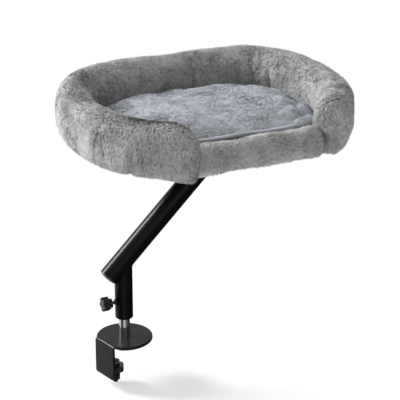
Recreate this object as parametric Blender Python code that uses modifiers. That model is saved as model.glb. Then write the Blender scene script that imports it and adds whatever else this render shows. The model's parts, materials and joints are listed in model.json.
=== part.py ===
"""Cat desk bed: a plush bed on a slanted arm that clamps to a desk and turns about a chrome post.

Metres, +Z up. The origin lies on the post's axis at the desk top, which is the underside of the
disc's pad. +X runs along the arm's reach and the bed's length, and the bed's low side faces -Y.
"""

import math

import bmesh
import bpy
from mathutils import Matrix, Vector

# Fits
GAP = 0.0003
OVERRUN = 0.004

# Desk clamp: a disc and a front plate bent from one sheet
SHEET = 0.005
DISC_DIAMETER = 0.110
PLATE_WIDTH = 0.058
PLATE_SETBACK = 0.005
PLATE_REACH = DISC_DIAMETER / 2 - PLATE_SETBACK
PLATE_DROP = 0.066
BEND_RADIUS = 0.0065
PLATE_CORNER = 0.004
DISC_RIM_ROUND = 0.0012
SHEET_EDGE_ROUND = 0.0004
CLAMP_TURN = math.radians(14.0)

# Rubber pads under the disc and inside the plate
DESK_PAD_THICKNESS = 0.002
DESK_PAD_MARGIN = 0.002
EDGE_PAD_THICKNESS = 0.0015
EDGE_PAD_WIDTH = 0.050
EDGE_PAD_HEIGHT = 0.030
EDGE_PAD_DROP = 0.004

# Jaw arm and its nut, at the plate's foot
SCREW_INSET = 0.026
JAW_WIDTH = 0.018
JAW_THICKNESS = 0.004
JAW_NUT_FLATS = 0.017
JAW_NUT_HEIGHT = 0.014

# Clamp screw, its knob and the foot that presses under the desk
CLAMP_STUD_DIAMETER = 0.010
CLAMP_STUD_TAIL = 0.0065
CLAMP_KNOB_DIAMETER = 0.036
CLAMP_KNOB_HEIGHT = 0.012
CLAMP_KNOB_HUB_DIAMETER = 0.018
CLAMP_KNOB_HUB_HEIGHT = 0.003
CLAMP_KNOB_LOBES = 5
CLAMP_KNOB_VALLEY = 0.0042
FOOT_DIAMETER = 0.018
FOOT_HEIGHT = 0.0045
FOOT_WALL = 0.0015
FACING_THICKNESS = 0.002
FACING_MARGIN = 0.0005
KNOB_EDGE_ROUND = 0.0014
KNOB_BORE_MARGIN = 0.003

# Chrome post and what fastens it
POST_DIAMETER = 0.022
POST_WALL = 0.002
POST_TOP = 0.112
POST_PLUG_HEIGHT = 0.018
POST_SCREW_DIAMETER = 0.008
POST_SCREW_HEAD = 0.0145
POST_SCREW_GRIP = 0.012
POST_CAP_FLANGE = 0.002
POST_CAP_STEM = 0.009
POST_CAP_ROUND = 0.0012

# Sleeve and its bushes
SLEEVE_DIAMETER = 0.035
SLEEVE_WALL = 0.002
SLEEVE_BOTTOM = 0.0477
SLEEVE_MOUTH_ROUND = 0.0012
LOWER_BUSH_LENGTH = 0.020
UPPER_BUSH_LENGTH = 0.016
UPPER_BUSH_RISE = 0.043
BUSH_MOUTH = 0.0008

# Lock screw on the sleeve
LOCK_HEIGHT = 0.082
LOCK_STUD_DIAMETER = 0.006
LOCK_TIP_LENGTH = 0.005
LOCK_TIP_DIAMETER = 0.0052
LOCK_INSERT_DIAMETER = 0.010
LOCK_INSERT_FLANGE = 0.013
LOCK_INSERT_RIM = 0.001
LOCK_INSERT_REACH = 0.0125
LOCK_KNOB_START = 0.0312
LOCK_KNOB_DIAMETER = 0.0285
LOCK_KNOB_LENGTH = 0.0148
LOCK_KNOB_HUB_DIAMETER = 0.0185
LOCK_KNOB_HUB_LENGTH = 0.0052
LOCK_KNOB_LOBES = 5
LOCK_KNOB_VALLEY = 0.0044

# Slanted arm
ARM_DIAMETER = 0.040
ARM_WALL = 0.002
ARM_RISE = math.radians(45.0)
ARM_CROSSING = 0.168
ARM_TAIL = 0.0415
ARM_CAP_FLANGE = 0.0022
ARM_CAP_STEM = 0.012
ARM_CAP_ROUND = 0.0009

# Bed: where it stands and its outline
BED_BOTTOM = 0.392
BED_LENGTH = 0.554
BED_WIDTH = 0.468
BED_OFFSET = 0.1765
BACK_POWER = 3.0
FRONT_POWER = 2.5
OUTLINE_POINTS = 48
FRONT_SHARPNESS = 8

# Head plate under the bed, with its screws and tee nuts
HEAD_PLATE_THICKNESS = 0.004
HEAD_PLATE_LENGTH = 0.190
HEAD_PLATE_WIDTH = 0.130
HEAD_PLATE_CORNER = 0.018
HEAD_PLATE_OFFSET = 0.168
HEAD_SCREW_DIAMETER = 0.006
HEAD_SCREW_HEAD_DIAMETER = 0.0125
HEAD_SCREW_HEAD_HEIGHT = 0.0035
HEAD_SCREW_INSET = 0.018
HEAD_SCREW_DRIVE = 0.004
HEAD_SCREW_DRIVE_DEPTH = 0.002
HEAD_SCREW_CROWN_SHARE = 0.78
TEE_NUT_FLANGE = 0.020
TEE_NUT_FLANGE_THICKNESS = 0.0015
TEE_NUT_BARREL = 0.009
TEE_NUT_LENGTH = 0.010

# Base: a plywood board in a fabric pan
BASE_INSET = 0.049
BASE_FRONT_INSET = 0.024
BOARD_THICKNESS = 0.012
COVER_THICKNESS = 0.003

# Bolster: the padded wall round three sides, open between two front ends
WALL_THICKNESS = 0.060
WALL_HEIGHT = 0.116
WALL_SECTION_POWER = 3.8
WALL_SECTION_POINTS = 10
WALL_STATIONS = 20
WALL_LEFT_START = 0.019
WALL_LEFT_LENGTH = 0.058
WALL_LEFT_SHARES = ((0.42, 1.0, 0.985), (0.78, 0.90, 0.90), (1.0, 0.60, 0.66))
WALL_RIGHT_START = 0.360
WALL_RIGHT_LENGTH = 0.035
WALL_RIGHT_SHARES = ((0.50, 1.0, 0.98), (0.86, 0.92, 0.92), (1.0, 0.66, 0.74))

# Front lip: the low roll across the opening
LIP_LEFT = 0.058
LIP_RIGHT = 0.356
LIP_SETBACK = 0.044
LIP_FRONT = BED_WIDTH / 2 - LIP_SETBACK
LIP_THICKNESS = 0.041
LIP_HEIGHT = 0.050
LIP_SECTION_POWER = 3.2
LIP_SECTION_POINTS = 10
LIP_SAG_SHARES = (
    (0, 1.0),
    (0.08, 0.995),
    (0.22, 0.965),
    (0.50, 0.945),
    (0.76, 0.965),
    (0.92, 0.995),
    (1.0, 1.0),
)

# Cushion: loose, with a crown, drawn-in sides and a seam round its edge
CUSHION_CAGE_GROWTH = 0.001
CUSHION_FRONT_GAP = 0.0005
CUSHION_EDGE_HEIGHT = 0.0285
CUSHION_CROWN = 0.013
CUSHION_POINTS = 32
CUSHION_DRAW_SHARE = 0.012
CUSHION_RING_SHARES = (
    (0.955, 0.0),
    (0.990, 0.16),
    (1.000, 0.40),
    (0.982, 0.52),
    (0.996, 0.64),
    (0.965, 0.90),
    (0.880, 1.02),
)
CUSHION_TOP_SHARES = (0.66, 0.40, 0.16)

ROUND_STEPS = 48
SMALL_STEPS = 24
HEX_SIDES = 6
SMOOTH_ANGLE = math.radians(35.0)
RIGHT_ANGLE = math.radians(90.0)
FULL_TURN = math.radians(360.0)
MERGE = 0.00001


def clear_scene():
    for item in list(bpy.data.objects):
        bpy.data.objects.remove(item, do_unlink=True)


def new_collection(name):
    collection = bpy.data.collections.new(name)
    bpy.context.scene.collection.children.link(collection)
    return collection


clear_scene()
PARTS = new_collection("cat_desk_bed")
CUTTERS = new_collection("cutters")


def material(name, colour, roughness, metallic=0.0):
    made = bpy.data.materials.new(name)
    made.use_nodes = True
    shader = made.node_tree.nodes["Principled BSDF"]
    shader.inputs["Base Color"].default_value = (*colour, 1.0)
    shader.inputs["Roughness"].default_value = roughness
    shader.inputs["Metallic"].default_value = metallic
    return made


BLACK_STEEL = material("black_powder_coat", (0.030, 0.029, 0.028), 0.38)
BLACK_TUBE = material("black_gloss_tube", (0.012, 0.012, 0.013), 0.25)
CHROME = material("chrome_plate", (0.80, 0.82, 0.84), 0.08, 1.0)
ZINC = material("zinc_steel", (0.55, 0.56, 0.57), 0.35, 1.0)
BLACK_OXIDE = material("black_oxide_steel", (0.045, 0.045, 0.047), 0.40, 1.0)
BLACK_PLASTIC = material("black_moulded_plastic", (0.020, 0.020, 0.022), 0.45)
NYLON = material("grey_nylon", (0.16, 0.16, 0.17), 0.50)
RUBBER = material("black_rubber", (0.018, 0.018, 0.018), 0.85)
PLYWOOD = material("birch_plywood", (0.62, 0.46, 0.28), 0.60)
LINING = material("black_base_cloth", (0.030, 0.030, 0.032), 0.95)
PLUSH = material("grey_plush", (0.36, 0.37, 0.39), 0.95)
CUSHION_PLUSH = material("grey_cushion_plush", (0.40, 0.42, 0.45), 0.95)


def link(item, collection):
    for home in list(item.users_collection):
        home.objects.unlink(item)
    collection.objects.link(item)


def smooth(item):
    item.data.shade_smooth()
    item.data.set_sharp_from_angle(angle=SMOOTH_ANGLE)


def finish(item, name, finish_material, parent=None):
    item.name = name
    item.data.name = name
    item.data.materials.clear()
    item.data.materials.append(finish_material)
    link(item, PARTS)
    if parent is not None:
        item.parent = parent
    if item.type == "MESH":
        smooth(item)
    return item


def as_cutter(item, parent=None):
    link(item, CUTTERS)
    item.hide_render = True
    item.display_type = "WIRE"
    if parent is not None:
        item.parent = parent
    return item


def empty(name, location=(0, 0, 0), turn=0.0, parent=None):
    made = bpy.data.objects.new(name, None)
    made.location = location
    made.rotation_euler = (0, 0, turn)
    made.parent = parent
    PARTS.objects.link(made)
    return made


def mesh_object(name, mesh_data):
    made = bpy.data.objects.new(name, mesh_data)
    PARTS.objects.link(made)
    return made


def from_bmesh(name, shape):
    data = bpy.data.meshes.new(name)
    shape.to_mesh(data)
    shape.free()
    return mesh_object(name, data)


def turned(name, profile, steps=ROUND_STEPS, ring=False):
    """A turned piece: (radius, height) points down the outer side, made solid by a Screw modifier."""
    shape = bmesh.new()
    points = [shape.verts.new((radius, 0, height)) for radius, height in profile]
    pairs = list(zip(points, points[1:]))
    if ring:
        pairs.append((points[-1], points[0]))
    for first, second in pairs:
        shape.edges.new((first, second))
    made = from_bmesh(name, shape)
    screw = made.modifiers.new("turn", "SCREW")
    screw.axis = "Z"
    screw.angle = FULL_TURN
    screw.steps = steps
    screw.render_steps = steps
    screw.use_merge_vertices = True
    screw.merge_threshold = MERGE
    return made


def baked(item):
    """The same object with its modifiers applied and its doubles merged."""
    bpy.context.view_layer.update()
    graph = bpy.context.evaluated_depsgraph_get()
    data = bpy.data.meshes.new_from_object(item.evaluated_get(graph))
    shape = bmesh.new()
    shape.from_mesh(data)
    bmesh.ops.remove_doubles(shape, verts=shape.verts, dist=MERGE)
    bmesh.ops.recalc_face_normals(shape, faces=shape.faces)
    shape.to_mesh(data)
    shape.free()
    made = mesh_object(item.name, data)
    made.matrix_world = item.matrix_world.copy()
    bpy.data.objects.remove(item, do_unlink=True)
    return made


def tube(name, outer, wall, low, high, steps=ROUND_STEPS):
    inner = outer - wall
    profile = ((inner, high), (outer, high), (outer, low), (inner, low))
    return turned(name, profile, steps, ring=True)


def rod(name, radius, low, high, steps=ROUND_STEPS):
    return turned(name, ((0, high), (radius, high), (radius, low), (0, low)), steps)


def outline_plate(name, loops, low, high, edge_round=0.0):
    """A flat piece: closed outlines, the first outside and the rest holes, extruded in Z."""
    curve = bpy.data.curves.new(name, "CURVE")
    curve.dimensions = "2D"
    curve.fill_mode = "BOTH"
    curve.extrude = (high - low) / 2 - edge_round
    curve.bevel_depth = edge_round
    curve.bevel_resolution = 1
    curve.offset = -edge_round
    for loop in loops:
        spline = curve.splines.new("POLY")
        spline.points.add(len(loop) - 1)
        for point, (x, y) in zip(spline.points, loop):
            point.co = (x, y, 0, 1)
        spline.use_cyclic_u = True
    item = bpy.data.objects.new(name, curve)
    PARTS.objects.link(item)
    item.location = (0, 0, (high + low) / 2)
    made = baked(item)
    made.data.transform(made.matrix_world)
    made.matrix_world = Matrix.Identity(4)
    return made


def box(name, low, high):
    shape = bmesh.new()
    bmesh.ops.create_cube(shape, size=1.0)
    size = Vector(high) - Vector(low)
    middle = (Vector(high) + Vector(low)) / 2
    bmesh.ops.scale(shape, vec=size, verts=shape.verts)
    bmesh.ops.translate(shape, vec=middle, verts=shape.verts)
    return from_bmesh(name, shape)


def cut(item, cutter, operation="DIFFERENCE"):
    boolean = item.modifiers.new(operation.lower(), "BOOLEAN")
    boolean.operation = operation
    boolean.solver = "EXACT"
    boolean.object = cutter
    return item


def placed_copies(name, source, places, finish_material, parent):
    """The same piece at several places, each its own object on one shared mesh."""
    source = baked(source)
    data = source.data
    bpy.data.objects.remove(source, do_unlink=True)
    for number, place in enumerate(places, 1):
        copy = mesh_object(name, data)
        copy.location = place
        finish(copy, f"{name}_{number}", finish_material, parent)
    data.name = name


def grouped(name, source, places):
    """One cutter that holds copies of a shape at several places."""
    source = baked(source)
    shape = bmesh.new()
    for place in places:
        before = len(shape.verts)
        shape.from_mesh(source.data)
        shape.verts.ensure_lookup_table()
        bmesh.ops.translate(shape, vec=place, verts=shape.verts[before:])
    bpy.data.objects.remove(source, do_unlink=True)
    return from_bmesh(name, shape)


def circle(radius, count=ROUND_STEPS, centre=(0, 0)):
    return [
        (
            centre[0] + radius * math.cos(FULL_TURN * step / count),
            centre[1] + radius * math.sin(FULL_TURN * step / count),
        )
        for step in range(count)
    ]


def rounded_rectangle(length, width, corner, centre, corner_steps=6):
    points = []
    for quarter in range(4):
        start = RIGHT_ANGLE * quarter
        side_x = 1 if quarter in (0, 3) else -1
        side_y = 1 if quarter in (0, 1) else -1
        middle_x = centre[0] + side_x * (length / 2 - corner)
        middle_y = centre[1] + side_y * (width / 2 - corner)
        for step in range(corner_steps + 1):
            angle = start + RIGHT_ANGLE * step / corner_steps
            points.append((middle_x + corner * math.cos(angle), middle_y + corner * math.sin(angle)))
    return points


def superellipse_point(half_x, half_y, power, angle):
    across, along = math.cos(angle), math.sin(angle)
    x = math.copysign(abs(across) ** (2 / power), across) * half_x
    y = math.copysign(abs(along) ** (2 / power), along) * half_y
    return x, y


def evenly_spaced(points, count, closed):
    """The same line with a given number of points at even distances along it."""
    line = list(points)
    if closed:
        line.append(line[0])
    lengths = [0.0]
    for first, second in zip(line, line[1:]):
        lengths.append(lengths[-1] + math.dist(first, second))
    steps = count if closed else count - 1
    spaced = []
    place = 0
    for step in range(count):
        wanted = lengths[-1] * step / steps
        while place < len(line) - 2 and lengths[place + 1] < wanted:
            place += 1
        share = (wanted - lengths[place]) / (lengths[place + 1] - lengths[place])
        first, second = line[place], line[place + 1]
        spaced.append(tuple(a + (b - a) * share for a, b in zip(first, second)))
    return spaced


def superellipse(half_x, half_y, power, count, fineness=12):
    fine = [
        superellipse_point(half_x, half_y, power, FULL_TURN * step / (count * fineness))
        for step in range(count * fineness)
    ]
    return evenly_spaced(fine, count, True)


def bed_point(half_x, half_y, angle):
    """A point on the bed's outline, whose corners are rounder on the low side than on the high one."""
    power = FRONT_POWER if math.sin(angle) < 0 else BACK_POWER
    return superellipse_point(half_x, half_y, power, angle)


def bed_outline(half_x, half_y, count, fineness=12):
    fine = [
        bed_point(half_x, half_y, FULL_TURN * step / (count * fineness)) for step in range(count * fineness)
    ]
    return evenly_spaced(fine, count, True)


def squared_front(reach, front):
    """Draws a point on the low side in, so that the outline runs straight behind the lip there."""
    if reach >= 0:
        return reach
    squareness = (-reach / front) ** FRONT_SHARPNESS
    return reach / (1 + squareness) ** (1 / FRONT_SHARPNESS)


def base_outline(inset):
    """The base's outline, drawn in by inset from the base cover's own edge."""
    points = bed_outline(
        BED_LENGTH / 2 - BASE_INSET - inset, BED_WIDTH / 2 - BASE_INSET - inset, OUTLINE_POINTS
    )
    front = LIP_FRONT - BASE_FRONT_INSET - inset
    return [(x + BED_OFFSET, squared_front(y, front)) for x, y in points]


def lobed_outline(radius, valley, lobes, steps_per_lobe=10):
    """A knob's outline: the radius falls by the valley's depth between its lobes."""
    count = lobes * steps_per_lobe
    points = []
    for step in range(count):
        angle = FULL_TURN * step / count
        dip = (1 - math.cos(lobes * angle)) / 2
        reach = radius - valley * dip**2
        points.append((reach * math.cos(angle), reach * math.sin(angle)))
    return points


def hexagon(flats):
    return circle(flats / 2 / math.cos(FULL_TURN / HEX_SIDES / 2), HEX_SIDES)


def swept(name, rings):
    """A soft form lofted through closed rings of points, its two ends closed."""
    shape = bmesh.new()
    made = [[shape.verts.new(point) for point in ring] for ring in rings]
    for first, second in zip(made, made[1:]):
        for step in range(len(first)):
            after = (step + 1) % len(first)
            shape.faces.new((first[step], first[after], second[after], second[step]))
    shape.faces.new(list(reversed(made[0])))
    shape.faces.new(made[-1])
    bmesh.ops.recalc_face_normals(shape, faces=shape.faces)
    return from_bmesh(name, shape)


def soften(item, levels=1):
    modifier = item.modifiers.new("soften", "SUBSURF")
    modifier.levels = levels
    modifier.render_levels = levels
    return item


# Heights that follow from the sizes
DISC_BOTTOM = DESK_PAD_THICKNESS + GAP
DISC_TOP = DISC_BOTTOM + SHEET
JAW_BOTTOM = -PLATE_DROP
JAW_TOP = JAW_BOTTOM + JAW_THICKNESS
CLAMP_KNOB_BOTTOM = JAW_TOP + GAP
CLAMP_KNOB_TOP = CLAMP_KNOB_BOTTOM + CLAMP_KNOB_HEIGHT
CLAMP_HUB_TOP = CLAMP_KNOB_TOP + CLAMP_KNOB_HUB_HEIGHT
FOOT_BOTTOM = CLAMP_HUB_TOP + GAP
FOOT_TOP = FOOT_BOTTOM + FOOT_HEIGHT
FACING_TOP = FOOT_TOP + FACING_THICKNESS
HEAD_PLATE_TOP = BED_BOTTOM - GAP
HEAD_PLATE_BOTTOM = HEAD_PLATE_TOP - HEAD_PLATE_THICKNESS
BOARD_BOTTOM = BED_BOTTOM + COVER_THICKNESS + GAP
BOARD_TOP = BOARD_BOTTOM + BOARD_THICKNESS
SLEEVE_INNER = SLEEVE_DIAMETER / 2 - SLEEVE_WALL
ARM_INNER = ARM_DIAMETER / 2 - ARM_WALL
HEAD_SCREW_PLACES = [
    (
        HEAD_PLATE_OFFSET + side_x * (HEAD_PLATE_LENGTH / 2 - HEAD_SCREW_INSET),
        side_y * (HEAD_PLATE_WIDTH / 2 - HEAD_SCREW_INSET),
        0,
    )
    for side_x in (-1, 1)
    for side_y in (-1, 1)
]

clamp_frame = empty("clamp_frame", turn=CLAMP_TURN)
clamp_screw_axis = empty("clamp_screw_axis", (SCREW_INSET - PLATE_REACH, 0, 0), parent=clamp_frame)
swivel_axis = empty("swivel_axis")
lock_axis = empty("lock_axis", (0, 0, LOCK_HEIGHT), parent=swivel_axis)


def bent_profile():
    """The side view of the bent sheet, from the disc's far edge over the bend to the foot."""
    far = DISC_DIAMETER / 2 + OVERRUN
    inner_radius = BEND_RADIUS - SHEET
    centre = (BEND_RADIUS - PLATE_REACH, DISC_TOP - BEND_RADIUS)
    arc_steps = 8

    def on_arc(radius, angle):
        return centre[0] + radius * math.cos(angle), centre[1] + radius * math.sin(angle)

    points = [(far, DISC_BOTTOM), (far, DISC_TOP)]
    for step in range(arc_steps + 1):
        points.append(on_arc(BEND_RADIUS, RIGHT_ANGLE + RIGHT_ANGLE * step / arc_steps))
    foot = -PLATE_DROP - OVERRUN
    points += [(-PLATE_REACH, foot), (SHEET - PLATE_REACH, foot)]
    for step in range(arc_steps + 1):
        points.append(on_arc(inner_radius, FULL_TURN / 2 - RIGHT_ANGLE * step / arc_steps))
    return points


def build_clamp_bracket():
    half_width = DISC_DIAMETER / 2 + OVERRUN
    sheet = outline_plate("clamp_bracket", [bent_profile()], -half_width, half_width)
    sheet.data.transform(Matrix.Rotation(RIGHT_ANGLE, 4, "X"))
    sheet.data.update()
    rim = DISC_RIM_ROUND
    half_rim = rim / 2
    plan = turned(
        "bracket_plan",
        (
            (0, DISC_TOP + OVERRUN),
            (DISC_DIAMETER / 2 - rim - half_rim, DISC_TOP + OVERRUN),
            (DISC_DIAMETER / 2 - rim - half_rim, DISC_TOP + half_rim),
            (DISC_DIAMETER / 2 - half_rim, DISC_TOP - half_rim),
            (DISC_DIAMETER / 2, DISC_TOP - rim - half_rim),
            (DISC_DIAMETER / 2, -PLATE_DROP - OVERRUN),
            (0, -PLATE_DROP - OVERRUN),
        ),
        96,
    )
    plan = baked(plan)
    plate_zone = outline_plate(
        "bracket_plate_zone",
        [rounded_rectangle(2 * PLATE_DROP, PLATE_WIDTH, PLATE_CORNER, (0, 0))],
        -PLATE_REACH - OVERRUN,
        BEND_RADIUS - PLATE_REACH + OVERRUN,
    )
    plate_zone.data.transform(Matrix.Rotation(RIGHT_ANGLE, 4, "Y"))
    plate_zone.data.update()
    outside = box(
        "bracket_beside_plate",
        (-DISC_DIAMETER, -DISC_DIAMETER, -PLATE_DROP - 3 * OVERRUN),
        (BEND_RADIUS - PLATE_REACH, DISC_DIAMETER, DISC_TOP + 3 * OVERRUN),
    )
    cut(plan, as_cutter(outside))
    plan = baked(plan)
    cut(plan, as_cutter(plate_zone), "UNION")
    cut(sheet, as_cutter(plan, clamp_frame), "INTERSECT")
    for item in (outside, plate_zone):
        item.parent = clamp_frame
    countersink = turned(
        "post_screw_hole",
        (
            (0, DISC_TOP + OVERRUN),
            (POST_SCREW_DIAMETER / 2 + GAP, DISC_TOP + OVERRUN),
            (POST_SCREW_DIAMETER / 2 + GAP, DISC_BOTTOM + (POST_SCREW_HEAD - POST_SCREW_DIAMETER) / 2),
            (POST_SCREW_HEAD / 2 + GAP, DISC_BOTTOM),
            (POST_SCREW_HEAD / 2 + GAP, DISC_BOTTOM - OVERRUN),
            (0, DISC_BOTTOM - OVERRUN),
        ),
        SMALL_STEPS,
    )
    cut(sheet, as_cutter(countersink, clamp_frame))
    return finish(sheet, "clamp_bracket", BLACK_STEEL, clamp_frame)


def build_disc_pad():
    radius = DISC_DIAMETER / 2 - DESK_PAD_MARGIN
    chord = PLATE_REACH - SHEET - BEND_RADIUS
    start = math.acos(-chord / radius)
    steps = ROUND_STEPS
    points = [
        (
            radius * math.cos(-start + 2 * start * step / steps),
            radius * math.sin(-start + 2 * start * step / steps),
        )
        for step in range(steps + 1)
    ]
    pad = outline_plate("disc_pad", [points], 0, DESK_PAD_THICKNESS)
    return finish(pad, "disc_pad", RUBBER, clamp_frame)


def build_edge_pad():
    face = SHEET - PLATE_REACH + GAP
    pad = outline_plate(
        "edge_pad",
        [rounded_rectangle(EDGE_PAD_HEIGHT, EDGE_PAD_WIDTH, EDGE_PAD_DROP, (0, 0))],
        0,
        EDGE_PAD_THICKNESS,
    )
    pad.data.transform(Matrix.Rotation(RIGHT_ANGLE, 4, "Y"))
    pad.location = (face, 0, -EDGE_PAD_DROP - EDGE_PAD_HEIGHT / 2)
    return finish(pad, "edge_pad", RUBBER, clamp_frame)


def build_jaw_arm():
    start = SHEET - PLATE_REACH + GAP
    centre = SCREW_INSET - PLATE_REACH
    radius = JAW_WIDTH / 2
    steps = 16
    points = [(start, -radius)]
    points += [
        (
            centre + radius * math.cos(RIGHT_ANGLE * (2 * step / steps - 1)),
            radius * math.sin(RIGHT_ANGLE * (2 * step / steps - 1)),
        )
        for step in range(steps + 1)
    ]
    points.append((start, radius))
    hole = circle(CLAMP_STUD_DIAMETER / 2 + GAP, SMALL_STEPS, (centre, 0))
    arm = outline_plate("jaw_arm", [points, hole], JAW_BOTTOM, JAW_TOP, SHEET_EDGE_ROUND)
    return finish(arm, "jaw_arm", BLACK_STEEL, clamp_frame)


def build_jaw_nut():
    hole = circle(CLAMP_STUD_DIAMETER / 2 + GAP, SMALL_STEPS)
    top = JAW_BOTTOM - GAP
    nut = outline_plate(
        "jaw_nut", [hexagon(JAW_NUT_FLATS), hole], top - JAW_NUT_HEIGHT, top, SHEET_EDGE_ROUND
    )
    return finish(nut, "jaw_nut", BLACK_STEEL, clamp_screw_axis)


def lobed_knob(name, radius, valley, lobes, height, hub_radius, hub_height, bore_radius, bore_depth):
    """A moulded hand knob on +Z: lobed body from zero up, a round hub above it and a blind bore."""
    body = outline_plate(name, [lobed_outline(radius, valley, lobes)], 0, height, KNOB_EDGE_ROUND)
    hub = rod(name + "_hub", hub_radius, height - OVERRUN / 2, height + hub_height, SMALL_STEPS)
    cut(body, as_cutter(hub), "UNION")
    bore = rod(
        name + "_bore", bore_radius, height + hub_height - bore_depth, height + hub_height + OVERRUN,
        SMALL_STEPS,
    )
    cut(body, as_cutter(bore))
    return baked(body)


def build_clamp_screw_group():
    stud_radius = CLAMP_STUD_DIAMETER / 2
    through = CLAMP_KNOB_HEIGHT + CLAMP_KNOB_HUB_HEIGHT + OVERRUN
    knob = lobed_knob(
        "clamp_knob", CLAMP_KNOB_DIAMETER / 2, CLAMP_KNOB_VALLEY, CLAMP_KNOB_LOBES, CLAMP_KNOB_HEIGHT,
        CLAMP_KNOB_HUB_DIAMETER / 2, CLAMP_KNOB_HUB_HEIGHT, stud_radius + GAP, through,
    )
    knob.location = (0, 0, CLAMP_KNOB_BOTTOM)
    finish(knob, "clamp_knob", BLACK_PLASTIC, clamp_screw_axis)
    nose_top = FOOT_TOP - FOOT_WALL - GAP
    tail = JAW_BOTTOM - GAP - JAW_NUT_HEIGHT - CLAMP_STUD_TAIL
    tip_round = stud_radius / 4
    stud = turned(
        "clamp_stud",
        (
            (0, nose_top),
            (stud_radius - tip_round, nose_top),
            (stud_radius, nose_top - tip_round),
            (stud_radius, tail + tip_round),
            (stud_radius - tip_round, tail),
            (0, tail),
        ),
        SMALL_STEPS,
    )
    finish(stud, "clamp_stud", BLACK_OXIDE, clamp_screw_axis)
    foot_radius = FOOT_DIAMETER / 2
    socket = stud_radius + GAP
    foot = turned(
        "pressure_foot",
        (
            (0, FOOT_TOP),
            (foot_radius - FOOT_WALL / 2, FOOT_TOP),
            (foot_radius, FOOT_TOP - FOOT_WALL / 2),
            (foot_radius, FOOT_TOP - FOOT_WALL),
            (socket + FOOT_WALL, FOOT_BOTTOM),
            (socket, FOOT_BOTTOM),
            (socket, nose_top + GAP),
            (0, nose_top + GAP),
        ),
        SMALL_STEPS,
    )
    finish(foot, "pressure_foot", ZINC, clamp_screw_axis)
    facing = rod(
        "foot_facing", foot_radius - FACING_MARGIN, FOOT_TOP + GAP, FACING_TOP, SMALL_STEPS
    )
    finish(facing, "foot_facing", RUBBER, clamp_screw_axis)


def build_post():
    bottom = DISC_TOP + GAP
    outer = POST_DIAMETER / 2
    inner = outer - POST_WALL
    post = tube("post", outer, POST_WALL, bottom, POST_TOP)
    finish(post, "post", CHROME)
    plug_radius = inner - GAP
    thread = POST_SCREW_DIAMETER / 2 + GAP
    plug = turned(
        "post_plug",
        (
            (0, bottom + POST_PLUG_HEIGHT),
            (plug_radius, bottom + POST_PLUG_HEIGHT),
            (plug_radius, bottom),
            (thread, bottom),
            (thread, bottom + POST_SCREW_GRIP + GAP),
            (0, bottom + POST_SCREW_GRIP + GAP),
        ),
        SMALL_STEPS,
    )
    finish(plug, "post_plug", ZINC)
    shank = POST_SCREW_DIAMETER / 2
    head = POST_SCREW_HEAD / 2
    screw = turned(
        "post_screw",
        (
            (0, bottom + POST_SCREW_GRIP),
            (shank, bottom + POST_SCREW_GRIP),
            (shank, DISC_BOTTOM + head - shank),
            (head, DISC_BOTTOM),
            (0, DISC_BOTTOM),
        ),
        SMALL_STEPS,
    )
    finish(screw, "post_screw", ZINC)
    cap_bottom = POST_TOP + GAP
    cap = turned(
        "post_cap",
        (
            (0, cap_bottom + POST_CAP_FLANGE),
            (outer - POST_CAP_ROUND, cap_bottom + POST_CAP_FLANGE),
            (outer, cap_bottom + POST_CAP_FLANGE - POST_CAP_ROUND),
            (outer, cap_bottom),
            (plug_radius, cap_bottom),
            (plug_radius, cap_bottom - POST_CAP_STEM),
            (0, cap_bottom - POST_CAP_STEM),
        ),
        SMALL_STEPS,
    )
    finish(cap, "post_cap", BLACK_PLASTIC)


def arm_solid(name, radius, low, high):
    """A solid rod on the arm's own axis, measured along it from where it crosses the post's axis."""
    item = rod(name, radius, low, high)
    item.location = (0, 0, ARM_CROSSING)
    item.rotation_euler = (0, RIGHT_ANGLE - ARM_RISE, 0)
    return item


def build_sleeve():
    outer = SLEEVE_DIAMETER / 2
    lip = SLEEVE_MOUTH_ROUND
    sleeve = turned(
        "sleeve",
        (
            (SLEEVE_INNER, ARM_CROSSING),
            (outer, ARM_CROSSING),
            (outer, SLEEVE_BOTTOM + lip),
            (outer - lip, SLEEVE_BOTTOM),
            (SLEEVE_INNER, SLEEVE_BOTTOM),
        ),
        ring=True,
    )
    arm_space = arm_solid("arm_space", ARM_DIAMETER / 2 + GAP, -ARM_CROSSING, ARM_CROSSING)
    cut(sleeve, as_cutter(arm_space, swivel_axis))
    hole = rod("lock_hole", LOCK_INSERT_DIAMETER / 2 + GAP, 0, SLEEVE_DIAMETER, SMALL_STEPS)
    hole.rotation_euler = (0, -RIGHT_ANGLE, 0)
    cut(sleeve, as_cutter(hole, lock_axis))
    finish(sleeve, "sleeve", BLACK_TUBE, swivel_axis)
    bush_outer = SLEEVE_INNER - GAP
    bush_wall = bush_outer - POST_DIAMETER / 2 - GAP
    starts = {
        "lower_bush": (SLEEVE_BOTTOM + GAP, LOWER_BUSH_LENGTH),
        "upper_bush": (SLEEVE_BOTTOM + UPPER_BUSH_RISE, UPPER_BUSH_LENGTH),
    }
    for name, (low, length) in starts.items():
        bush_inner = bush_outer - bush_wall
        bush = turned(
            name,
            (
                (bush_inner + BUSH_MOUTH, low + length),
                (bush_outer, low + length),
                (bush_outer, low),
                (bush_inner + BUSH_MOUTH, low),
                (bush_inner, low + BUSH_MOUTH),
                (bush_inner, low + length - BUSH_MOUTH),
            ),
            ring=True,
        )
        finish(bush, name, NYLON, swivel_axis)


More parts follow.
